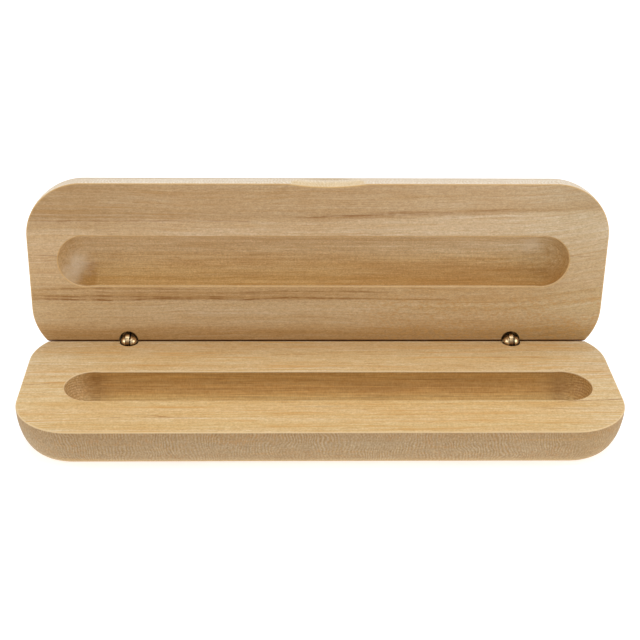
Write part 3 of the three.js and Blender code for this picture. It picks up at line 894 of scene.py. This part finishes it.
# ---------------------------------------------------------------- build
wood = {w: wood_material(w + "_wood", w) for w in ("base", "lid")}
brass = brass_material("aged_brass", 0.86, 0.42, 0.9)
leaf_brass = brass_material("leaf_brass", 0.84, 0.45, 0.9, 0.75)
pin_brass = brass_material("pin_brass", 0.85, 0.6)

MATRIX = {"base": BASE_MATRIX, "lid": LID_MATRIX}


def finish_piece(ob, body, node, material):
    ob.matrix_world = MATRIX[body]
    ob.data.materials.clear()
    ob.data.materials.append(material)
    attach(ob, body)
    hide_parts(node)


for which in ("base", "lid"):
    finish_piece(wooden_half(which + "_wood", which), which, which + "_body", wood[which])
for side, hx in HINGE_X.items():
    s = SLOT_SHIFT[side]
    finish_piece(fork_barrel(side + "_fork", hx, s), "base", side + "_base_barrel", brass)
    finish_piece(pin(side + "_pin", hx, 0.0), "base", side + "_knuckle_pin", pin_brass)
    finish_piece(slotted_barrel(side + "_socket", hx, s), "lid", side + "_lid_barrel", brass)
    finish_piece(tongue(side + "_leaf", hx, s), "lid", side + "_tongue", leaf_brass)
    finish_piece(pin(side + "_rivet", hx, RIVET_Z), "lid", side + "_tongue_rivet", pin_brass)


# ---------------------------------------------------------------- stage, camera, light
def plain(name, color, rough, glow):
    g = Graph(name)
    p = g.vmath("MULTIPLY", g.coords("Object"), (3, 3, 3))
    n = g.noise(p, 1.0, 2.0)
    g.put(g.bsdf.inputs["Base Color"], g.mix(n, tuple(c * 0.985 for c in color), color))
    g.bsdf.inputs["Roughness"].default_value = rough
    g.bsdf.inputs["Specular IOR Level"].default_value = 0.1
    g.bsdf.inputs["Emission Color"].default_value = (1, 1, 1, 1)
    g.bsdf.inputs["Emission Strength"].default_value = glow
    return g.mat


floor = loft("floor", [[(-40000, -40000, -12), (40000, -40000, -12), (40000, 40000, -12), (-40000, 40000, -12)], [(-40000, -40000, -0.05), (40000, -40000, -0.05), (40000, 40000, -0.05), (-40000, 40000, -0.05)]])
floor.data.materials.append(plain("pale_floor", (0.62, 0.62, 0.62), 0.8, 0.64))

world = bpy.data.worlds.new("studio")
bpy.context.scene.world = world
world.use_nodes = True
bg = world.node_tree.nodes["Background"]
bg.inputs[0].default_value = (1.0, 1.0, 1.0, 1)
bg.inputs[1].default_value = 0.5


def area(name, location, target, size, power, color=(1, 1, 1), size_y=None):
    light = bpy.data.lights.new(name, "AREA")
    light.energy = power
    light.color = color
    light.size = size
    if size_y:
        light.shape = "RECTANGLE"
        light.size_y = size_y
    ob = bpy.data.objects.new(name, light)
    ob.location = location
    d = Vector(target) - Vector(location)
    ob.rotation_euler = d.to_track_quat("-Z", "Y").to_euler()
    bpy.context.scene.collection.objects.link(ob)
    return ob


area("key", (0.05, 0.1, 1.1), (0, 0, 0.02), 0.9, 5.0)
area("left", (-0.95, -0.15, 0.42), (0, 0, 0.02), 0.6, 3.0)
area("right", (0.95, -0.15, 0.42), (0, 0, 0.02), 0.6, 3.0)
area("front", (0.0, -0.9, 0.75), (0, 0, 0.03), 0.7, 1.6)

F_PX, CAM = 1303.0316, Vector((-13.4302, -352.5395, 199.1931))
PITCH, YAW, ROLL = (math.radians(a) for a in (28.551, 1.3338, 0.635))
PPX, PPY = 301.2363, 320.0303
fwd = Vector((math.sin(YAW) * math.cos(PITCH), math.cos(YAW) * math.cos(PITCH), -math.sin(PITCH)))
right = Vector((math.cos(YAW), -math.sin(YAW), 0.0))
up = right.cross(fwd)
r2 = right * math.cos(ROLL) + up * math.sin(ROLL)
u2 = -right * math.sin(ROLL) + up * math.cos(ROLL)
cam_data = bpy.data.cameras.new("camera")
cam_data.sensor_fit = "HORIZONTAL"
cam_data.sensor_width = 36.0
cam_data.lens = F_PX * 36.0 / 640.0
cam_data.shift_x = (320.0 - PPX) / 640.0
cam_data.shift_y = (PPY - 320.0) / 640.0
cam_data.clip_start = 0.01
cam_data.clip_end = 200.0
camera = bpy.data.objects.new("camera", cam_data)
camera.matrix_world = Matrix(
    (
        (r2.x, u2.x, -fwd.x, (CAM.x + PIVOT.x) * MM),
        (r2.y, u2.y, -fwd.y, (CAM.y + PIVOT.y) * MM),
        (r2.z, u2.z, -fwd.z, (CAM.z + PIVOT.z) * MM),
        (0, 0, 0, 1),
    )
)
bpy.context.scene.collection.objects.link(camera)
bpy.context.scene.camera = camera
bpy.context.scene.view_settings.view_transform = "Standard"

bpy.context.view_layer.update()
